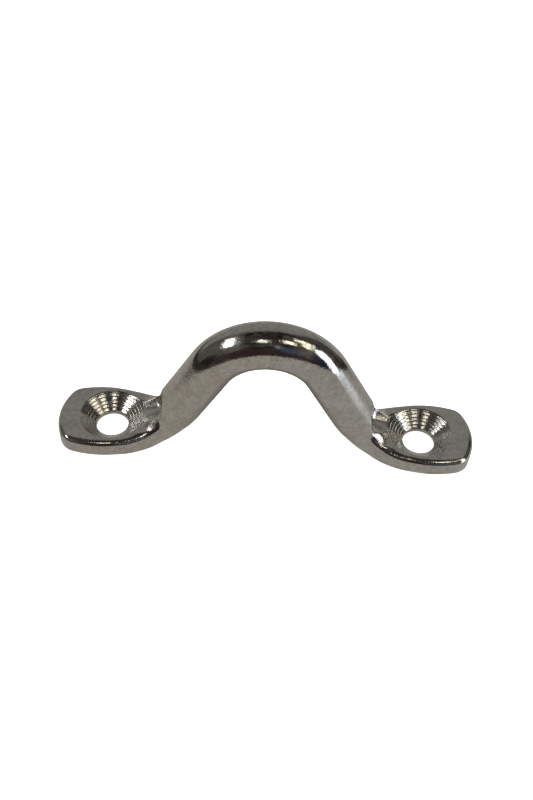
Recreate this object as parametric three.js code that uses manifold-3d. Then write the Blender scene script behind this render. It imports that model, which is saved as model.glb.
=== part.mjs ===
// Pad eye, also called an eye strap or deck saddle: one piece of stainless rod, bent into an arch, with
// both ends pressed flat into pads that are drilled and countersunk for screws.
// X runs along the strap, Y across it, Z up from the deck. The origin is on the deck, under the arch's top.
import * as THREE from "three";
import { mergeVertices } from "three/addons/utils/BufferGeometryUtils.js";
import Module from "manifold-3d";

const wasm = await Module();
wasm.setup();

// Driving dimensions, in millimetres and degrees.
const ROD_DIAMETER = 8;
const OVERALL_HEIGHT = 26.2;
const ARCH_RADIUS = 11.3; // of the rod's centreline, over the top of the arch
const LEG_ANGLE = 60; // between a straight leg and the deck
const HEEL_RADIUS = 12; // of the underside, where a leg turns into its pad

const OVERALL_LENGTH = 74.4;
const PAD_THICKNESS = 3.1;
const PAD_WIDTH = 14.5;
const PAD_WIDEST_AT = 29.4; // distance from the middle of the strap
const PAD_SIDE_RADIUS = 18;
const PAD_END_RADIUS = 11.1;
const PAD_CORNER_RADIUS = 0.9;
const PAD_EDGE_RADIUS = 0.6;
const PAD_ROOT_WIDTH = 6.5; // where its outline ends, inside the foot of the leg

const HOLE_SPACING = 55.5;
const HOLE_DIAMETER = 5.7;
const COUNTERSINK_DIAMETER = 11.4;
const COUNTERSINK_ANGLE = 100;
const FACING_DIAMETER = 19.6; // the cutter that faces a pad's top, which also bites into the foot of the leg
const FACING_CORNER_RADIUS = 1.6;
const FACING_CLEARANCE = 0.02; // left over the pad's top

// Fineness of the round stretches.
const ROD_SIDES = 40;
const ROD_STEPS = 48;
const HOLE_SIDES = 48;

// Worked out from the driving dimensions.
const rodRadius = ROD_DIAMETER / 2;
const legAngle = THREE.MathUtils.degToRad(LEG_ANGLE);
const archCentreZ = OVERALL_HEIGHT - rodRadius - ARCH_RADIUS;
const legTop = onArch(ARCH_RADIUS);
const heelX = heelCentreX();
const holeX = HOLE_SPACING / 2;
const MARGIN = 5; // how far a cutting body runs past what it cuts

// Where the arch of this radius ends and the straight leg starts, at the right-hand leg.
function onArch(radius) {
  return new THREE.Vector2(radius * Math.sin(legAngle), archCentreZ + radius * Math.cos(legAngle));
}

// The heel arc lies on the deck and runs tangent into the underside of the leg.
function heelCentreX() {
  const inner = onArch(ARCH_RADIUS - rodRadius);
  const drop = inner.y - HEEL_RADIUS * (1 - Math.cos(legAngle));
  return inner.x + drop / Math.tan(legAngle) + HEEL_RADIUS * Math.sin(legAngle);
}

// A closed geometry as a manifold-3d solid.
function solid(geometry) {
  const bare = geometry.clone();
  bare.deleteAttribute("normal");
  bare.deleteAttribute("uv");
  const merged = mergeVertices(bare, 1e-4);
  return new wasm.Manifold(
    new wasm.Mesh({
      numProp: 3,
      vertProperties: merged.attributes.position.array,
      triVerts: new Uint32Array(merged.index.array),
    }),
  );
}

// A manifold-3d solid as a geometry.
function geometryOf(body) {
  const mesh = body.getMesh();
  const geometry = new THREE.BufferGeometry();
  geometry.setAttribute("position", new THREE.BufferAttribute(mesh.vertProperties, 3));
  geometry.setIndex(new THREE.BufferAttribute(mesh.triVerts, 1));
  geometry.computeVertexNormals();
  return geometry;
}

// An outline drawn in X and Z, as a body from y = -halfWidth to y = halfWidth.
function acrossStrap(outline, halfWidth) {
  const geometry = new THREE.ExtrudeGeometry(outline, {
    depth: 2 * halfWidth,
    bevelEnabled: false,
    curveSegments: 24,
  });
  geometry.rotateX(Math.PI / 2);
  geometry.translate(0, halfWidth, 0);
  return solid(geometry);
}

// The rod's centreline: a straight leg, the arch, and the other leg. The legs run on until their slanting
// ends are just below the deck.
class Centreline extends THREE.Curve {
  constructor() {
    super();
    const depth = rodRadius * Math.cos(legAngle) + 0.1 * rodRadius;
    this.legLength = (legTop.y + depth) / Math.sin(legAngle);
    this.archLength = 2 * legAngle * ARCH_RADIUS;
    this.length = this.archLength + 2 * this.legLength;
  }
  getPoint(t, target = new THREE.Vector3()) {
    const fromTop = (t - 0.5) * this.length;
    const side = Math.sign(fromTop);
    const alongArch = Math.min(Math.abs(fromTop), this.archLength / 2);
    const alongLeg = Math.abs(fromTop) - alongArch;
    const turned = alongArch / ARCH_RADIUS;
    return target.set(
      side * (ARCH_RADIUS * Math.sin(turned) + alongLeg * Math.cos(legAngle)),
      0,
      archCentreZ + ARCH_RADIUS * Math.cos(turned) - alongLeg * Math.sin(legAngle),
    );
  }
}

function bentRod() {
  const section = new THREE.Shape();
  for (let side = 0; side < ROD_SIDES; side += 1) {
    const angle = (2 * Math.PI * side) / ROD_SIDES;
    const x = rodRadius * Math.cos(angle);
    const y = rodRadius * Math.sin(angle);
    if (side === 0) section.moveTo(x, y);
    else section.lineTo(x, y);
  }
  section.closePath();
  const geometry = new THREE.ExtrudeGeometry(section, {
    steps: ROD_STEPS,
    bevelEnabled: false,
    extrudePath: new Centreline(),
  });
  return solid(geometry);
}

// The space below the deck and through the eye, seen from the side: flat under the pads, round at each
// heel, straight up each leg and round under the arch.
function eyeAndDeck() {
  const innerRadius = ARCH_RADIUS - rodRadius;
  const outer = OVERALL_LENGTH / 2 + MARGIN;
  const outline = new THREE.Shape();
  outline.moveTo(-outer, -MARGIN);
  outline.lineTo(outer, -MARGIN);
  outline.lineTo(outer, 0);
  outline.lineTo(heelX, 0);
  outline.absarc(heelX, HEEL_RADIUS, HEEL_RADIUS, -Math.PI / 2, -Math.PI / 2 - legAngle, true);
  outline.absarc(0, archCentreZ, innerRadius, Math.PI / 2 - legAngle, Math.PI / 2 + legAngle, false);
  outline.absarc(-heelX, HEEL_RADIUS, HEEL_RADIUS, -Math.PI / 2 + legAngle, -Math.PI / 2, true);
  outline.lineTo(-outer, 0);
  outline.closePath();
  return acrossStrap(outline, PAD_WIDTH);
}

// The centre of the small arc that rounds the corner between a pad's side arc and its end arc.
function cornerCentre(sideCentre, endCentreX) {
  const fromSide = PAD_SIDE_RADIUS - PAD_CORNER_RADIUS;
  const fromEnd = PAD_END_RADIUS - PAD_CORNER_RADIUS;
  const gap = new THREE.Vector2(endCentreX, 0).sub(sideCentre);
  const apart = gap.length();
  const along = (fromSide ** 2 - fromEnd ** 2 + apart ** 2) / (2 * apart);
  const aside = Math.sqrt(fromSide ** 2 - along ** 2);
  const unit = gap.normalize();
  return new THREE.Vector2(
    sideCentre.x + unit.x * along + unit.y * aside,
    sideCentre.y + unit.y * along - unit.x * aside,
  );
}

// The right-hand pad, pressed flat: bulging sides and a bulging end, with all its edges eased.
function pad() {
  const sideCentre = new THREE.Vector2(PAD_WIDEST_AT, PAD_WIDTH / 2 - PAD_SIDE_RADIUS);
  const endCentreX = OVERALL_LENGTH / 2 - PAD_END_RADIUS;
  const corner = cornerCentre(sideCentre, endCentreX);
  const sideAngle = Math.atan2(corner.y - sideCentre.y, corner.x - sideCentre.x);
  const endAngle = Math.atan2(corner.y, corner.x - endCentreX);
  const rootAngle = Math.PI - Math.asin((PAD_ROOT_WIDTH / 2 - sideCentre.y) / PAD_SIDE_RADIUS);
  const outline = new THREE.Shape();
  outline.absarc(PAD_WIDEST_AT, -sideCentre.y, PAD_SIDE_RADIUS, -rootAngle, -sideAngle, false);
  outline.absarc(corner.x, -corner.y, PAD_CORNER_RADIUS, -sideAngle, -endAngle, false);
  outline.absarc(endCentreX, 0, PAD_END_RADIUS, -endAngle, endAngle, false);
  outline.absarc(corner.x, corner.y, PAD_CORNER_RADIUS, endAngle, sideAngle, false);
  outline.absarc(PAD_WIDEST_AT, sideCentre.y, PAD_SIDE_RADIUS, sideAngle, rootAngle, false);
  outline.closePath();
  const geometry = new THREE.ExtrudeGeometry(outline, {
    depth: PAD_THICKNESS - 2 * PAD_EDGE_RADIUS,
    curveSegments: 14,
    bevelThickness: PAD_EDGE_RADIUS,
    bevelSize: PAD_EDGE_RADIUS,
    bevelOffset: -PAD_EDGE_RADIUS,
    bevelSegments: 3,
  });
  geometry.translate(0, 0, PAD_EDGE_RADIUS);
  return solid(geometry);
}

// The tools at the right-hand hole as one body: the drill, the countersink over it, and the facing cutter,
// which is flat with a round corner.
function padTools() {
  const holeRadius = HOLE_DIAMETER / 2;
  const rimRadius = COUNTERSINK_DIAMETER / 2;
  const facingRadius = FACING_DIAMETER / 2;
  const slope = 1 / Math.tan(THREE.MathUtils.degToRad(COUNTERSINK_ANGLE / 2));
  const faceZ = PAD_THICKNESS + FACING_CLEARANCE;
  const profile = new THREE.Path();
  profile.moveTo(0, -MARGIN);
  profile.lineTo(holeRadius, -MARGIN);
  profile.lineTo(holeRadius, PAD_THICKNESS - (rimRadius - holeRadius) * slope);
  profile.lineTo(rimRadius + FACING_CLEARANCE / slope, faceZ);
  profile.absarc(
    facingRadius - FACING_CORNER_RADIUS,
    faceZ + FACING_CORNER_RADIUS,
    FACING_CORNER_RADIUS,
    -Math.PI / 2,
    0,
    false,
  );
  profile.lineTo(facingRadius, OVERALL_HEIGHT);
  profile.lineTo(0, OVERALL_HEIGHT);
  const geometry = new THREE.LatheGeometry(profile.getPoints(3), HOLE_SIDES);
  geometry.rotateX(Math.PI / 2);
  geometry.translate(holeX, 0, 0);
  return solid(geometry);
}

function padEye() {
  const rightPad = pad();
  const rightTools = padTools();
  return bentRod()
    .add(rightPad)
    .add(rightPad.mirror([1, 0, 0]))
    .subtract(eyeAndDeck())
    .subtract(rightTools)
    .subtract(rightTools.mirror([1, 0, 0]));
}

const steel = new THREE.MeshStandardMaterial({ color: 0x9a9894, metalness: 1, roughness: 0.18 });

const group = new THREE.Group();
const strap = new THREE.Mesh(geometryOf(padEye()), steel);
strap.name = "pad_eye";
group.add(strap);

export default group;
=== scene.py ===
# The pad eye in polished stainless steel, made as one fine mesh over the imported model, on a pale table in a
# dim room.
import math
import bmesh
import bpy
import numpy as np
import openvdb
from mathutils import Matrix, Vector


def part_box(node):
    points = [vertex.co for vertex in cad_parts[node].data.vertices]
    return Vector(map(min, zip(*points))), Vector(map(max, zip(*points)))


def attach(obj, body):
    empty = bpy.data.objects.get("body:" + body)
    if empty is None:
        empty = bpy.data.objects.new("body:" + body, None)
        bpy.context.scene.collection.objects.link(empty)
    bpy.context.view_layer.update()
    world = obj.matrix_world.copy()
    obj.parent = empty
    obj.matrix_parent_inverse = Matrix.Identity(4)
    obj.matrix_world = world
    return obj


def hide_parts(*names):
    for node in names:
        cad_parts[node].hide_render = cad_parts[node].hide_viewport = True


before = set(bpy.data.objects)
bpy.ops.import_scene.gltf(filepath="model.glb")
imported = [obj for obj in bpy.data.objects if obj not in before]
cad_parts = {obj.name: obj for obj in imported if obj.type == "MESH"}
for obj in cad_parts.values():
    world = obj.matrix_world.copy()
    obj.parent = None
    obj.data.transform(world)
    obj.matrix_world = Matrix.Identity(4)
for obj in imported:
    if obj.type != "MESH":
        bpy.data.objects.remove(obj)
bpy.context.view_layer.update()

# ---------------------------------------------------------------- sizes, in millimetres and degrees
MM = 0.001  # metres
cad_low, cad_high = (np.array(corner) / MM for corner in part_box("pad_eye"))

LENGTH = cad_high[0] - cad_low[0]
WIDTH = cad_high[1] - cad_low[1]
HEIGHT = cad_high[2]

ROD_RADIUS = 4.0
ARCH_RADIUS = 11.3  # of the rod's centreline
LEG_ANGLE = math.radians(60)  # between a leg and the deck
HEEL_RADIUS = 10.0  # of the underside, where a leg turns into its pad

PAD_THICKNESS = 3.1
PAD_WIDEST_AT = 29.4  # from the middle of the strap
PAD_SIDE_RADIUS = 18.0
PAD_END_RADIUS = 11.1
PAD_CORNER_RADIUS = 0.9
PAD_TOP_EDGE = 1.1
DECK_EDGE = 0.45
ROOT_BLEND = 3.0  # between a leg and its pad
ROOT_EDGE = 0.3
SIDE_SPARE = 0.15  # between the pressed sides of a foot and the pad's own outline
SIDE_BLEND = 1.2
SIDE_REACH = 13.0  # how far from its widest place a pad's side arc is followed
FOOT_SQUARENESS = 0.8  # how far a leg's section goes from an ellipse towards a box as it is pressed flat
FOOT_SQUARES = (2, 8)  # where it starts and is done, past the place where the underside starts to bend
HEEL_EDGE = 2.2  # softer under a leg than round a pad
HEEL_EDGE_ENDS = (16, 21)  # where that fades, from the middle of the strap
HEEL_SPARE = 1.5  # keeps the heel's cut clear of the round leg above it
HEEL_SPARE_ENDS = (1, 7)  # where that fades, past the place where the underside starts to bend
FAR_INSIDE = -10.0  # a distance too deep to shape anything

HOLE_X = 27.75
HOLE_RADIUS = 2.85
RIM_RADIUS = 5.7  # of the countersink
RIM_EDGE = 0.1
HOLE_EDGE = 0.12
CONE_SLOPE = math.radians(40)  # of its wall, up from the pad
CONE_HEIGHT = 0.5  # how far its cutter rises past the pad's top
BITE_AT = (25.2, -1.0)  # the middle of the round bite in the foot of the leg
BITE_RADIUS = 7.0
BITE_CORNER = 0.8
BITE_CLEARANCE = 0.05  # of its floor over the pad's top, at the countersink's rim
BITE_RISE = 0.2  # of its floor, for each millimetre from there
BITE_TROUGH = 20.0  # radius of its floor across the strap
BITE_LOWEST_Y = -1.3
BITE_BACK_Y = 1.5  # behind this its floor curls up
BITE_CURL = 0.3
TOE_EDGE = 0.5
SHOULDER_EDGE = 0.25
TOE_FACES = (
    # where each face of the leg's blunt end meets the pad's top, and its slopes inboard and to the front
    (22.1, 0.1, 0.39, 0.46),
    (22.15, 0.0, 1.5, -0.23),
    (20.6, -4.9, 0.64, -0.79),
)

RING_PITCH = 0.5  # of the turned rings in a countersink, from ring to ring along a radius
RING_HEIGHT = 0.036
RING_STEP = 0.2  # the steep part of each ring
RING_DRIFT = 4e-5  # metres; how little the fine rings change round the hole

VOXEL = 0.36
SETTLING_STEPS = 4
DIVISIONS = 2
FINE_TURN = math.radians(12)  # a face whose corners turn more than this is divided again

# How near a point is to a surface that counts as being on it.
NEAR_CONE = 0.15
NEAR_RIM = 0.1
NEAR_TOP = 0.4
NEAR_BITE = 0.12
LEVEL = (0.97, 0.995)  # how far up a normal points where a pad's top starts to count as level, and does
FACED_INSIDE_RIM = 0.05

POLISHED_ROUGHNESS = (0.065, 0.145)  # from its smoothest to its roughest
SATIN_ROUGHNESS = (0.23, 0.33)
TURNED_ROUGHNESS = (0.1, 0.2)
PIT_ROUGHNESS = 0.08  # more than round a pit
STEEL_LIGHT = (0.655, 0.64, 0.61, 1)
STEEL_DARK = (0.515, 0.5, 0.47, 1)
STEEL_BROWN = (0.57, 0.52, 0.475, 1)
STEEL_PIT = (0.26, 0.23, 0.2, 1)
RELIEF = 0.004  # of the bumps, in millimetres
# Noise patterns: the scale, per metre, and the detail.
CLOUDS = (260.0, 4.0)
SPOTS = (600.0, 3.0)
SCRATCHES = (700.0, 3.0)
MOTTLE = (1000.0, 3.0)
GRAIN = (1900.0, 5.0)
SPECKS = (2400.0, 2.0)
PITS = (3000.0, 1.5)
FINE_RINGS = (9000.0, 1.0)
# Where in a noise's values a pattern starts to show and where it shows in full.
TONE_EDGE = (0.38, 0.62)
SPOT_EDGE = (0.5, 0.7)
SCRATCH_EDGE = (0.56, 0.72)
PIT_EDGE = (0.6, 0.74)
ROUGH_EDGE = (0.35, 0.65)
RING_EDGE = (0.3, 0.7)
MOTTLE_SHARE = 0.6  # of the steel's tone. The clouds have the rest.
SPOT_STRENGTH = 0.6
PIT_STRENGTH = 0.7
# How high each pattern stands, as a multiple of the relief.
PIT_HEIGHT = -0.5
GRAIN_HEIGHT = 1.2
SCRATCH_HEIGHT = -0.8
FINE_RING_HEIGHT = 2.5
MOTTLE_HEIGHT = 2.2
SPECK_HEIGHT = 5.0
SCRATCH_TURN = (0, 0, 0.5)
SCRATCH_STRETCH = (1.0, 14.0, 1.0)

# ---------------------------------------------------------------- the stage, in metres and degrees
FLOOR_HALF = 3.0
FLOOR_WHITE = (1, 1, 1, 1)
FLOOR_GLOW = 0.75  # as the camera sees it
# The table as the steel shows it is painted as glowing colours: a painted reflection, with a painted pool of
# daylight and glare on it.
PAINTED_FLOOR_REFLECTION = (0.39, 0.366, 0.328, 1)
PAINTED_FLOOR_REFLECTION_COOL = (0.385, 0.378, 0.347, 1)
FLOOR_LIT = (0.66, 0.67, 0.67, 1)
FLOOR_GLARE = (0.95, 1.05, 1.15, 1)
ROOM_DARK = (0.033, 0.028, 0.024, 1)
ROOM_BLACK = (0.004, 0.003, 0.003, 1)
ROOM_SPECK = (0.17, 0.16, 0.14, 1)
ROOM_RED = (0.036, 0.02, 0.019, 1)
ROOM_GREY = (0.255, 0.252, 0.237, 1)
ROOM_SIDE = (0.1, 0.1, 0.088, 1)
ROOM_BLUE = (0.06, 0.088, 0.14, 1)
ROOM_NAVY = (0.022, 0.028, 0.05, 1)
ROOM_BROWN = (0.16, 0.14, 0.115, 1)
ROOM_FINE = (9.0, 4.0)  # noise: the scale and the detail
ROOM_BROAD = (2.6, 3.0)
ROOM_DARK_EDGE = (0.4, 0.55)
ROOM_SPECK_EDGE = (0.55, 0.7)
ROOM_BROAD_EDGE = (0.5, 0.7)
ROOM_SIDES = (0.2, 0.5)  # how far to a side the broad patches start and are in full
RIGHT_GAP_SLANT = 0.5
ROOM_LIGHT = 0.8  # as the camera sees it

# The painted reflection of the table in the steel, by the place of each point on it, in metres. Each edge is
# where a colour starts to show and where it shows in full.
TABLE_EDGE_SLANT = (-1.3, -0.6)
TABLE_EDGE = (0.09, 0.17)  # its far left, past which the room's dark is painted on the table as its reflection
COOL_EDGE = (-0.01, 0.03)  # towards the right
LIT_SLANT = 1.7  # of the left-hand side of the daylight on it
LIT_LEFT = (0.0, 0.03)
LIT_NEAR = (0.03, 0.065)
LIT_BACK = (0.014, -0.012)
GLARE_EDGE = (0.065, 0.12)
GAP_SLANT = -1.19  # of the painted reflection of a dark gap behind it, to the right
GAP_LEFT = (0.0, 0.03)
GAP_FRONT = (0.02, 0.05)
SHADE_AT = (0, -0.009, 0)
SHADE_STRETCH = (0.45, 1, 1)
SHADE_SIZE = (0.006, 0.018)
SHADE_LEFT = 0.48  # of the light, at the darkest

# What it reflects of the room, painted in this order: a colour, its strength, and its edges. Across runs
# from left to right, back from front to back, and up is the rise over the front, in radians.
ROOM_PATCHES = (
    (ROOM_RED, 1.0, (("up", 0.5, 0.3), ("across", -0.8, -0.55))),
    (ROOM_GREY, 1.0, (("back", 0.3, 0.52),)),
    (ROOM_DARK, 1.0, (("right_gap", 0.8, 0.92), ("back", 0.3, 0.52))),
    (ROOM_SIDE, 1.0, (("across", -0.42, -0.62), ("up", 0.3, 0.9), ("back", 0.52, 0.3))),
    (ROOM_BLUE, 1.0, (("across", 0.1, 0.2), ("across", 0.5, 0.4), ("up", 0.25, 0.4), ("up", 0.8, 0.6))),
    (ROOM_BROWN, 0.7, (("across", 0.4, 0.5), ("across", 0.7, 0.6), ("up", 0.2, 0.4), ("up", 1.05, 0.75))),
    (ROOM_NAVY, 1.0, (("across", 0.55, 0.7), ("back", 0.3, 0.2), ("up", 0.8, 0.5))),
)

LIGHT_DISTANCE = 0.8
LIGHTS = (
    # name, how far it leans to the right, how far it rises over the front, width, height, radiance, colour
    ("window_left", -47, 80, 9, 30, 6.5, (1.0, 0.99, 0.97)),
    ("lamp_middle", -8, 63, 8, 10, 2.8, (1.0, 0.95, 0.82)),
    ("lamp_warm", 20, 68, 11, 12, 2.6, (1.0, 0.94, 0.78)),
    ("lamp_warm_high", 37, 89, 22, 10, 2.2, (1.0, 0.92, 0.74)),
    ("lamp_warm_low", 40, 73, 8, 14, 2.2, (1.0, 0.92, 0.74)),
    ("window_right_high", 57, 64, 7.5, 20, 3.5, (0.95, 0.98, 1.0)),
    ("window_right", 69, 26, 17.5, 56, 3.5, (0.92, 0.97, 1.0)),
    ("gap", 7.5, 40, 1.2, 10, 1.2, (0.9, 0.96, 1.0)),
)

CAMERA_ANGLES = (0.13, 46.83, 3.23)  # round from the front, up, and rolled
CAMERA_AIM = (-0.13, -0.43, 9.59)  # millimetres
CAMERA_DISTANCE = 157.1  # millimetres
LENS = 40.7

# Worked out from the sizes above.
ARCH_Z = HEIGHT - ROD_RADIUS - ARCH_RADIUS
LEG_TOP = (ARCH_RADIUS * math.sin(LEG_ANGLE), ARCH_Z + ARCH_RADIUS * math.cos(LEG_ANGLE))


def heel_centre_x():
    inner = ARCH_RADIUS - ROD_RADIUS
    inner_x = inner * math.sin(LEG_ANGLE)
    inner_z = ARCH_Z + inner * math.cos(LEG_ANGLE)
    drop = inner_z - HEEL_RADIUS * (1 - math.cos(LEG_ANGLE))
    return inner_x + drop / math.tan(LEG_ANGLE) + HEEL_RADIUS * math.sin(LEG_ANGLE)


HEEL_X = heel_centre_x()
# How far down a leg, from the arch, its underside starts to bend.
HEEL_START = (HEEL_X - LEG_TOP[0]) * math.cos(LEG_ANGLE) - (HEEL_RADIUS - LEG_TOP[1]) * math.sin(LEG_ANGLE)


# ---------------------------------------------------------------- the strap's signed distance, in millimetres
def smooth_max(a, b, width):
    nearness = np.clip(1 - np.abs(a - b) / width, 0, None)
    return np.maximum(a, b) + width / 4 * nearness**2


def smooth_min(a, b, width):
    return -smooth_max(-a, -b, width)


def round_max(a, b, radius):
    """What is inside both, with the edge between them rounded to an arc."""
    flat = np.minimum(np.maximum(a, b), -radius)
    return flat + np.hypot(np.maximum(a + radius, 0), np.maximum(b + radius, 0))


def ramp(value, start, end):
    t = np.clip((value - start) / (end - start), 0, 1)
    return t * t * (3 - 2 * t)


def along_and_above(x, z):
    """How far along the rod from the start of a leg, and how far above its centreline, for x >= 0."""
    turned = np.arctan2(x, z - ARCH_Z)
    on_arch = turned < LEG_ANGLE
    dx, dz = x - LEG_TOP[0], z - LEG_TOP[1]
    along = dx * math.cos(LEG_ANGLE) - dz * math.sin(LEG_ANGLE)
    above = dx * math.sin(LEG_ANGLE) + dz * math.cos(LEG_ANGLE)
    along = np.where(on_arch, (turned - LEG_ANGLE) * ARCH_RADIUS, along)
    above = np.where(on_arch, np.hypot(x, z - ARCH_Z) - ARCH_RADIUS, above)
    return along, above


def rod(x, y, z):
    """Round over the arch and down the legs, then flattened from below as it nears the pad."""
    along, above = along_and_above(x, z)
    past = np.clip(along - HEEL_START, 0, HEEL_RADIUS * math.sin(LEG_ANGLE))
    lift = HEEL_RADIUS - np.sqrt(HEEL_RADIUS**2 - past**2)
    half_height = ROD_RADIUS - lift / 2
    middle = lift / 2
    across = np.abs(y) / ROD_RADIUS
    square = 2 + FOOT_SQUARENESS * ramp(past, *FOOT_SQUARES)
    up = np.abs(above - middle) / half_height
    return ((across**square + up**square) ** (1 / square) - 1) * half_height


def pad_outline(x, y):
    side = np.hypot(x - PAD_WIDEST_AT, np.abs(y) + PAD_SIDE_RADIUS - WIDTH / 2) - PAD_SIDE_RADIUS
    end = np.hypot(x - (LENGTH / 2 - PAD_END_RADIUS), y) - PAD_END_RADIUS
    return round_max(side, end, PAD_CORNER_RADIUS)


def strap_side(x, y):
    """Where the pressed sides of a foot are: the rod's width, then the pad's outline."""
    from_widest = np.clip(np.abs(x - PAD_WIDEST_AT), 0, SIDE_REACH)
    outline = np.sqrt(PAD_SIDE_RADIUS**2 - from_widest**2) + WIDTH / 2 - PAD_SIDE_RADIUS
    return np.abs(y) - smooth_max(outline, ROD_RADIUS, SIDE_BLEND) - SIDE_SPARE


def under_strap(x, z):
    """The deck, and the round underside of each heel. Positive outside the strap."""
    along, _ = along_and_above(x, z)
    heel = np.hypot(x - HEEL_X, z - HEEL_RADIUS) - HEEL_RADIUS
    start, end = (HEEL_START + past for past in HEEL_SPARE_ENDS)
    heel = heel - HEEL_SPARE * (1 - ramp(along, start, end))
    heel = np.where(along > HEEL_START, heel, FAR_INSIDE)
    return np.where(x > HEEL_X, -z, heel)


def bite(x, y, z):
    """What the countersinking tool takes out of the foot of the leg. Negative inside."""
    from_hole = np.hypot(x - HOLE_X, y)
    floor = PAD_THICKNESS + BITE_CLEARANCE + BITE_RISE * (from_hole - RIM_RADIUS)
    floor = floor + (y - BITE_LOWEST_Y) ** 2 / (2 * BITE_TROUGH)
    floor = floor + BITE_CURL * np.clip(y - BITE_BACK_Y, 0, None) ** 2
    faces = [
        PAD_THICKNESS + inboard * (face_x - x) + forward * (face_y - y)
        for face_x, face_y, inboard, forward in TOE_FACES
    ]
    toe = smooth_min(smooth_min(faces[0], faces[1], TOE_EDGE), faces[2], TOE_EDGE)
    floor = smooth_max(floor, toe, TOE_EDGE)
    wall = np.hypot(x - BITE_AT[0], y - BITE_AT[1]) - BITE_RADIUS
    return round_max(wall, floor - z, BITE_CORNER)


def rings(radius):
    """The turned rings: shallow treads with a short steep step between them."""
    part = radius / RING_PITCH % 1
    return RING_HEIGHT * (np.minimum(part / (1 - RING_STEP), (1 - part) / RING_STEP) - 0.5)


def strap(x, y, z):
    x = np.abs(x)
    pad = round_max(pad_outline(x, y), z - PAD_THICKNESS, PAD_TOP_EDGE)
    body = smooth_min(rod(x, y, z), pad, ROOT_BLEND)
    body = smooth_max(body, strap_side(x, y), ROOT_EDGE)
    under_edge = DECK_EDGE + HEEL_EDGE * (1 - ramp(x, *HEEL_EDGE_ENDS))
    body = smooth_max(body, under_strap(x, z), under_edge)
    body = smooth_max(body, -bite(x, y, z), SHOULDER_EDGE)
    radius = np.hypot(x - HOLE_X, y)
    cone = (radius - RIM_RADIUS) * math.sin(CONE_SLOPE) - (z - PAD_THICKNESS) * math.cos(CONE_SLOPE)
    cone = np.maximum(cone, z - PAD_THICKNESS - CONE_HEIGHT)
    body = smooth_max(body, -cone + rings(radius), RIM_EDGE)
    return smooth_max(body, HOLE_RADIUS - radius, HOLE_EDGE)


# ---------------------------------------------------------------- the mesh
def slope(points, step=0.01):
    """The unit outward normal of the strap's surface near each point, and the strap's distance there."""
    x, y, z = points.T
    gradient = np.stack(
        [
            strap(x + step, y, z) - strap(x - step, y, z),
            strap(x, y + step, z) - strap(x, y - step, z),
            strap(x, y, z + step) - strap(x, y, z - step),
        ],
        axis=1,
    ) / (2 * step)
    length = np.linalg.norm(gradient, axis=1, keepdims=True) + 1e-9
    return gradient / length, strap(x, y, z)[:, None] / length


def settle(points):
    """Moves points onto the surface."""
    for _ in range(SETTLING_STEPS):
        normal, distance = slope(points)
        points = points - normal * np.clip(distance, -VOXEL, VOXEL)
    return points


def first_mesh():
    low = cad_low - 2 * VOXEL
    counts = np.ceil((cad_high + 2 * VOXEL - low) / VOXEL).astype(int)
    axes = [low[i] + VOXEL * np.arange(counts[i]) for i in range(3)]
    x, y, z = np.meshgrid(*axes, indexing="ij")
    field = strap(x, y, z)
    grid = openvdb.FloatGrid(background=3 * VOXEL)
    grid.copyFromArray(np.clip(field, -3 * VOXEL, 3 * VOXEL).astype(np.float32))
    points, quads = grid.convertToQuads(isovalue=0.0)
    return settle(points * VOXEL + low), quads


def vertex_points(mesh):
    points = np.empty(len(mesh.vertices) * 3)
    mesh.vertices.foreach_get("co", points)
    return points.reshape(-1, 3)


def edge_ends(mesh):
    ends = np.empty(len(mesh.edges) * 2, int)
    mesh.edges.foreach_get("vertices", ends)
    return ends.reshape(-1, 2)


def in_countersink(points):
    radius = np.hypot(np.abs(points[:, 0]) - HOLE_X, points[:, 1])
    cone = PAD_THICKNESS + (radius - RIM_RADIUS) * math.tan(CONE_SLOPE)
    between = (radius < RIM_RADIUS + NEAR_RIM) & (radius > HOLE_RADIUS - NEAR_RIM)
    return (np.abs(points[:, 2] - cone) < NEAR_CONE) & between


def divide(mesh, chosen):
    """Divides the faces beside the chosen edges, and settles the mesh on the surface again."""
    bm = bmesh.new()
    bm.from_mesh(mesh)
    bm.edges.ensure_lookup_table()
    faces = {face for index in np.flatnonzero(chosen) for face in bm.edges[index].link_faces}
    edges = list({edge for face in faces for edge in face.edges})
    bmesh.ops.subdivide_edges(bm, edges=edges, cuts=1, use_grid_fill=True)
    bmesh.ops.triangulate(bm, faces=[face for face in bm.faces if len(face.verts) > 4])
    bm.to_mesh(mesh)
    bm.free()
    mesh.vertices.foreach_set("co", settle(vertex_points(mesh)).ravel())
    mesh.update()


def strap_mesh():
    points, quads = first_mesh()
    mesh = bpy.data.meshes.new("eye_strap")
    mesh.from_pydata(points, [], quads)
    for _ in range(DIVISIONS):
        points = vertex_points(mesh)
        normal, _ = slope(points)
        ends = edge_ends(mesh)
        turn = np.arccos(np.clip((normal[ends[:, 0]] * normal[ends[:, 1]]).sum(1), -1, 1))
        turned = in_countersink(points)[ends].all(axis=1)
        divide(mesh, (turn > FINE_TURN) | turned)
    return mesh


def mark(mesh, name, amounts):
    """Stores how much of a finish each point of the mesh has, for the material."""
    attribute = mesh.attributes.new(name, "FLOAT", "POINT")
    attribute.data.foreach_set("value", amounts.astype(np.float32))


def mark_finishes(mesh, points, normal):
    """Turned is the countersinks. Faced is the level tops of the pads and the bites."""
    x, y, z = np.abs(points[:, 0]), points[:, 1], points[:, 2]
    on_top = ramp(normal[:, 2], *LEVEL) * (np.abs(z - PAD_THICKNESS) < NEAR_TOP)
    in_bite = np.abs(bite(x, y, z)) < NEAR_BITE
    outside_rim = np.hypot(x - HOLE_X, y) > RIM_RADIUS - FACED_INSIDE_RIM
    mark(mesh, "turned", in_countersink(points) * 1.0)
    mark(mesh, "faced", np.maximum(on_top, in_bite) * outside_rim)


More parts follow.
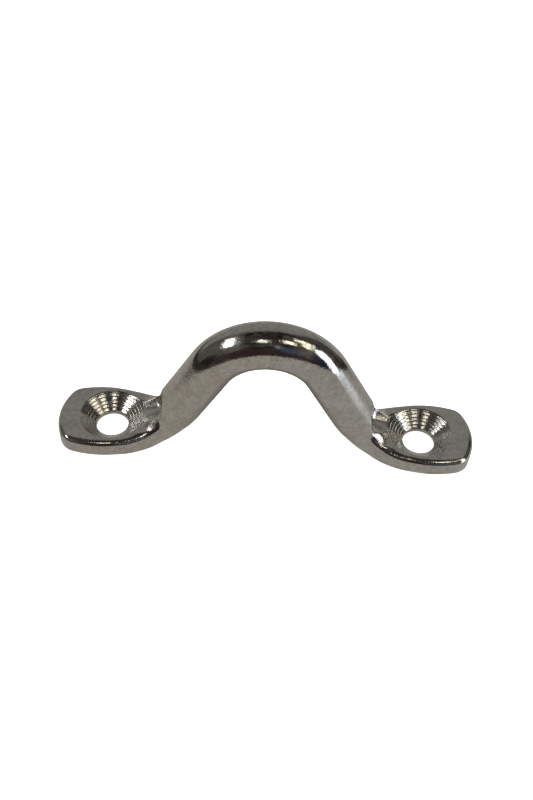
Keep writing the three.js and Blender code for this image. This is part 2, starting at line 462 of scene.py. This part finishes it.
def make_strap():
    mesh = strap_mesh()
    points = vertex_points(mesh)
    normal, _ = slope(points)
    mark_finishes(mesh, points, normal)
    mesh.transform(Matrix.Scale(MM, 4))
    mesh.shade_smooth()
    mesh.normals_split_custom_set_from_vertices(normal)
    piece = bpy.data.objects.new("eye_strap", mesh)
    bpy.context.collection.objects.link(piece)
    return piece


# ---------------------------------------------------------------- the finish
def add_node(tree, kind, inputs=None, **settings):
    node = tree.nodes.new(kind)
    for name, value in settings.items():
        setattr(node, name, value)
    for name, value in (inputs or {}).items():
        if isinstance(value, bpy.types.NodeSocket):
            tree.links.new(value, node.inputs[name])
        else:
            node.inputs[name].default_value = value
    return node


def math_node(tree, operation, a, b=0.0, c=0.0):
    return add_node(tree, "ShaderNodeMath", {0: a, 1: b, 2: c}, operation=operation).outputs[0]


def noise(tree, place, scale, detail):
    inputs = {"Vector": place, "Scale": scale, "Detail": detail, "Roughness": 0.6}
    return add_node(tree, "ShaderNodeTexNoise", inputs).outputs["Fac"]


def spread(tree, value, low, high, to_low, to_high):
    inputs = {0: value, 1: low, 2: high, 3: to_low, 4: to_high}
    return add_node(tree, "ShaderNodeMapRange", inputs, interpolation_type="SMOOTHSTEP").outputs[0]


def fade(tree, value, start, end):
    """0 up to the start and 1 past the end. The end may be the lower of the two."""
    if start < end:
        return spread(tree, value, start, end, 0.0, 1.0)
    return spread(tree, value, end, start, 1.0, 0.0)


def product(tree, *amounts):
    result = amounts[0]
    for amount in amounts[1:]:
        result = math_node(tree, "MULTIPLY", result, amount)
    return result


def blend(tree, amount, a, b):
    return add_node(tree, "ShaderNodeMix", {"Factor": amount, "A": a, "B": b}).outputs["Result"]


def blend_colour(tree, amount, a, b):
    mix = add_node(tree, "ShaderNodeMix", data_type="RGBA")
    for socket, value in ((mix.inputs[0], amount), (mix.inputs[6], a), (mix.inputs[7], b)):
        if isinstance(value, bpy.types.NodeSocket):
            tree.links.new(value, socket)
        else:
            socket.default_value = value
    return mix.outputs[2]


def attribute(tree, name):
    return add_node(tree, "ShaderNodeAttribute", attribute_name=name).outputs["Fac"]


def steel():
    material = bpy.data.materials.new("steel")
    material.use_nodes = True
    tree = material.node_tree
    shader = tree.nodes["Principled BSDF"]
    shader.inputs["Metallic"].default_value = 1.0
    place = add_node(tree, "ShaderNodeTexCoord").outputs["Object"]
    turned = attribute(tree, "turned")
    faced = attribute(tree, "faced")

    # How far a point is from its hole, and its bearing round the hole.
    split = add_node(tree, "ShaderNodeSeparateXYZ", {0: place}).outputs
    from_hole = math_node(tree, "SUBTRACT", math_node(tree, "ABSOLUTE", split[0]), HOLE_X * MM)
    squared = math_node(tree, "MULTIPLY_ADD", from_hole, from_hole, product(tree, split[1], split[1]))
    radius = math_node(tree, "SQRT", squared)
    bearing = math_node(tree, "ARCTAN2", split[1], from_hole)
    ring_place = add_node(tree, "ShaderNodeCombineXYZ", {0: radius, 1: product(tree, bearing, RING_DRIFT)})

    cloud = noise(tree, place, *CLOUDS)
    mottle = noise(tree, place, *MOTTLE)
    pits = fade(tree, noise(tree, place, *PITS), *PIT_EDGE)
    specks = noise(tree, place, *SPECKS)
    brown = spread(tree, noise(tree, place, *SPOTS), *SPOT_EDGE, 0.0, SPOT_STRENGTH)
    grain = noise(tree, place, *GRAIN)
    fine_rings = noise(tree, ring_place.outputs[0], *FINE_RINGS)
    stretch = {"Vector": place, "Rotation": SCRATCH_TURN, "Scale": SCRATCH_STRETCH}
    stretched = add_node(tree, "ShaderNodeMapping", stretch).outputs[0]
    scratches = fade(tree, noise(tree, stretched, *SCRATCHES), *SCRATCH_EDGE)

    polished = spread(tree, cloud, *ROUGH_EDGE, *POLISHED_ROUGHNESS)
    satin = spread(tree, grain, *ROUGH_EDGE, *SATIN_ROUGHNESS)
    cut = spread(tree, fine_rings, *RING_EDGE, *TURNED_ROUGHNESS)
    roughness = blend(tree, turned, blend(tree, faced, polished, satin), cut)
    roughness = math_node(tree, "MULTIPLY_ADD", pits, PIT_ROUGHNESS, roughness)
    tree.links.new(roughness, shader.inputs["Roughness"])

    clouded = product(tree, cloud, 1 - MOTTLE_SHARE)
    both = math_node(tree, "MULTIPLY_ADD", mottle, MOTTLE_SHARE, clouded)
    tone = blend_colour(tree, fade(tree, both, *TONE_EDGE), STEEL_DARK, STEEL_LIGHT)
    tone = blend_colour(tree, brown, tone, STEEL_BROWN)
    tone = blend_colour(tree, product(tree, pits, PIT_STRENGTH), tone, STEEL_PIT)
    tree.links.new(tone, shader.inputs["Base Color"])

    height = product(tree, pits, PIT_HEIGHT)
    for layer, amount in (
        (product(tree, grain, faced), GRAIN_HEIGHT),
        (product(tree, scratches, faced), SCRATCH_HEIGHT),
        (product(tree, fine_rings, turned), FINE_RING_HEIGHT),
        (mottle, MOTTLE_HEIGHT),
        (specks, SPECK_HEIGHT),
    ):
        height = math_node(tree, "MULTIPLY_ADD", layer, amount, height)
    bump = add_node(tree, "ShaderNodeBump", {"Strength": 1.0, "Distance": RELIEF * MM, "Height": height})
    tree.links.new(bump.outputs[0], shader.inputs["Normal"])
    return material


# ---------------------------------------------------------------- the floor, the lights and the camera
def slanted(tree, split, slant):
    """How far right of a slanting line through the origin each point is."""
    return math_node(tree, "MULTIPLY_ADD", split[1], slant, split[0])


def painted_table_reflection(tree, place):
    """The painted reflection of the table in the steel: glowing colours that stand in for the lit table, with
    a painted pool of daylight and glare, and the room's dark painted where it would show.
    """
    split = add_node(tree, "ShaderNodeSeparateXYZ", {0: place}).outputs
    # The painted reflection of the table: a glowing colour, cooler towards the right.
    tone = blend_colour(tree, fade(tree, split[0], *COOL_EDGE), PAINTED_FLOOR_REFLECTION, PAINTED_FLOOR_REFLECTION_COOL)
    # Past the table's far left, the room's dark is painted onto it as its reflection.
    across, back = TABLE_EDGE_SLANT
    far = math_node(tree, "MULTIPLY_ADD", split[0], across, product(tree, split[1], back))
    tone = blend_colour(tree, fade(tree, far, *TABLE_EDGE), tone, ROOM_DARK)
    # A painted pool of daylight, with painted glare towards the right.
    lit = blend_colour(tree, fade(tree, split[0], *GLARE_EDGE), FLOOR_LIT, FLOOR_GLARE)
    where_lit = product(
        tree,
        fade(tree, slanted(tree, split, LIT_SLANT), *LIT_LEFT),
        fade(tree, split[0], *LIT_NEAR),
        fade(tree, split[1], *LIT_BACK),
    )
    tone = blend_colour(tree, where_lit, tone, lit)
    # The painted reflection of a dark gap behind it, to the right.
    gap = product(
        tree,
        fade(tree, slanted(tree, split, GAP_SLANT), *GAP_LEFT),
        fade(tree, split[1], *GAP_FRONT),
    )
    return blend_colour(tree, gap, tone, ROOM_DARK)


def table_shade(tree, place):
    """How much of that is left in the shade under the strap and behind it."""
    stretch = {"Vector": place, "Location": SHADE_AT, "Scale": SHADE_STRETCH}
    near = add_node(tree, "ShaderNodeMapping", stretch).outputs[0]
    away = add_node(tree, "ShaderNodeVectorMath", {0: near}, operation="LENGTH").outputs["Value"]
    return spread(tree, away, *SHADE_SIZE, SHADE_LEFT, 1.0)


def for_the_steel(tree, seen, mirrored):
    """One shader for the camera, and another for what polished steel reflects."""
    path = add_node(tree, "ShaderNodeLightPath").outputs["Is Glossy Ray"]
    return add_node(tree, "ShaderNodeMixShader", {0: path, 1: seen, 2: mirrored}).outputs[0]


def stage_floor():
    """A pale table: as seen in the steel it is a painted reflection, dimmer than the camera sees it."""
    mesh = bpy.data.meshes.new("floor")
    half = FLOOR_HALF
    corners = [(-half, -half, 0), (half, -half, 0), (half, half, 0), (-half, half, 0)]
    mesh.from_pydata(corners, [], [(0, 1, 2, 3)])
    floor = bpy.data.objects.new("floor", mesh)
    bpy.context.collection.objects.link(floor)
    material = bpy.data.materials.new("floor")
    material.use_nodes = True
    tree = material.node_tree
    tree.nodes.clear()
    glow = add_node(tree, "ShaderNodeEmission", {"Color": FLOOR_WHITE, "Strength": FLOOR_GLOW})
    matt = add_node(tree, "ShaderNodeBsdfDiffuse", {"Color": FLOOR_WHITE})
    seen = add_node(tree, "ShaderNodeAddShader", {0: glow.outputs[0], 1: matt.outputs[0]})
    place = add_node(tree, "ShaderNodeTexCoord").outputs["Object"]
    light = {"Color": painted_table_reflection(tree, place), "Strength": table_shade(tree, place)}
    mirrored = add_node(tree, "ShaderNodeEmission", light)
    surface = for_the_steel(tree, seen.outputs[0], mirrored.outputs[0])
    add_node(tree, "ShaderNodeOutputMaterial", {"Surface": surface})
    mesh.materials.append(material)
    return floor


def room_tone(tree, way):
    """The colours of the room as the steel shows it: mottled and dark in front, grey behind."""
    split = add_node(tree, "ShaderNodeSeparateXYZ", {0: way}).outputs
    measures = {
        "across": split[0],
        "back": split[1],
        "up": math_node(tree, "ARCTAN2", split[2], product(tree, split[1], -1.0)),
        "right_gap": math_node(tree, "MULTIPLY_ADD", split[2], RIGHT_GAP_SLANT, split[0]),
    }
    fine = noise(tree, way, *ROOM_FINE)
    tone = blend_colour(tree, fade(tree, fine, *ROOM_DARK_EDGE), ROOM_BLACK, ROOM_DARK)
    tone = blend_colour(tree, fade(tree, fine, *ROOM_SPECK_EDGE), tone, ROOM_SPECK)
    to_a_side = fade(tree, math_node(tree, "ABSOLUTE", split[0]), *ROOM_SIDES)
    broad = fade(tree, noise(tree, way, *ROOM_BROAD), *ROOM_BROAD_EDGE)
    tone = blend_colour(tree, product(tree, broad, to_a_side), tone, ROOM_BROWN)
    for colour, strength, edges in ROOM_PATCHES:
        fades = [fade(tree, measures[name], start, end) for name, start, end in edges]
        tone = blend_colour(tree, product(tree, *fades, strength), tone, colour)
    return tone


def room():
    """What is round the table: pale for the camera, and dim in the steel."""
    world = bpy.data.worlds.new("room")
    bpy.context.scene.world = world
    world.use_nodes = True
    tree = world.node_tree
    tree.nodes.clear()
    way = add_node(tree, "ShaderNodeTexCoord").outputs["Generated"]
    dim = add_node(tree, "ShaderNodeBackground", {"Color": room_tone(tree, way)})
    pale = add_node(tree, "ShaderNodeBackground", {"Color": FLOOR_WHITE, "Strength": ROOM_LIGHT})
    surface = for_the_steel(tree, pale.outputs[0], dim.outputs[0])
    add_node(tree, "ShaderNodeOutputWorld", {"Surface": surface})


def soft_light(name, lean, rise, wide, tall, radiance, colour):
    """A rectangular light seen from the strap at these angles, given in degrees."""
    lean, rise = math.radians(lean), math.radians(rise)
    way = Vector((math.sin(lean), -math.cos(lean) * math.cos(rise), math.cos(lean) * math.sin(rise)))
    light = bpy.data.lights.new(name, "AREA")
    light.shape = "RECTANGLE"
    light.size = 2 * LIGHT_DISTANCE * math.tan(math.radians(wide) / 2)
    light.size_y = 2 * LIGHT_DISTANCE * math.tan(math.radians(tall) / 2)
    light.energy = radiance * math.pi * light.size * light.size_y
    light.color = colour
    lamp = bpy.data.objects.new(name, light)
    across = Vector((math.cos(lean), math.sin(lean) * math.cos(rise), -math.sin(lean) * math.sin(rise)))
    upright = way.cross(across)
    turn = Matrix((across, upright, way)).transposed().to_4x4()
    lamp.matrix_world = Matrix.Translation(way * LIGHT_DISTANCE) @ turn
    bpy.context.collection.objects.link(lamp)


def camera():
    lens = bpy.data.cameras.new("camera")
    lens.lens = LENS
    lens.sensor_width = 36.0
    lens.clip_start = 0.01
    camera = bpy.data.objects.new("camera", lens)
    az, el, roll = (math.radians(angle) for angle in CAMERA_ANGLES)
    back = Vector((math.sin(az) * math.cos(el), -math.cos(az) * math.cos(el), math.sin(el)))
    right = Vector((math.cos(az), math.sin(az), 0))
    up = back.cross(right)
    tilted_right = right * math.cos(roll) + up * math.sin(roll)
    tilted_up = up * math.cos(roll) - right * math.sin(roll)
    turn = Matrix((tilted_right, tilted_up, back)).transposed().to_4x4()
    aim = Vector(CAMERA_AIM) * MM
    camera.matrix_world = Matrix.Translation(aim + back * CAMERA_DISTANCE * MM) @ turn
    bpy.context.collection.objects.link(camera)
    bpy.context.scene.camera = camera


eye_strap = make_strap()
eye_strap.data.materials.append(steel())
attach(eye_strap, "root")
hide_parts("pad_eye")

stage_floor()
room()
for light in LIGHTS:
    soft_light(*light)
camera()
bpy.context.scene.view_settings.view_transform = "Standard"
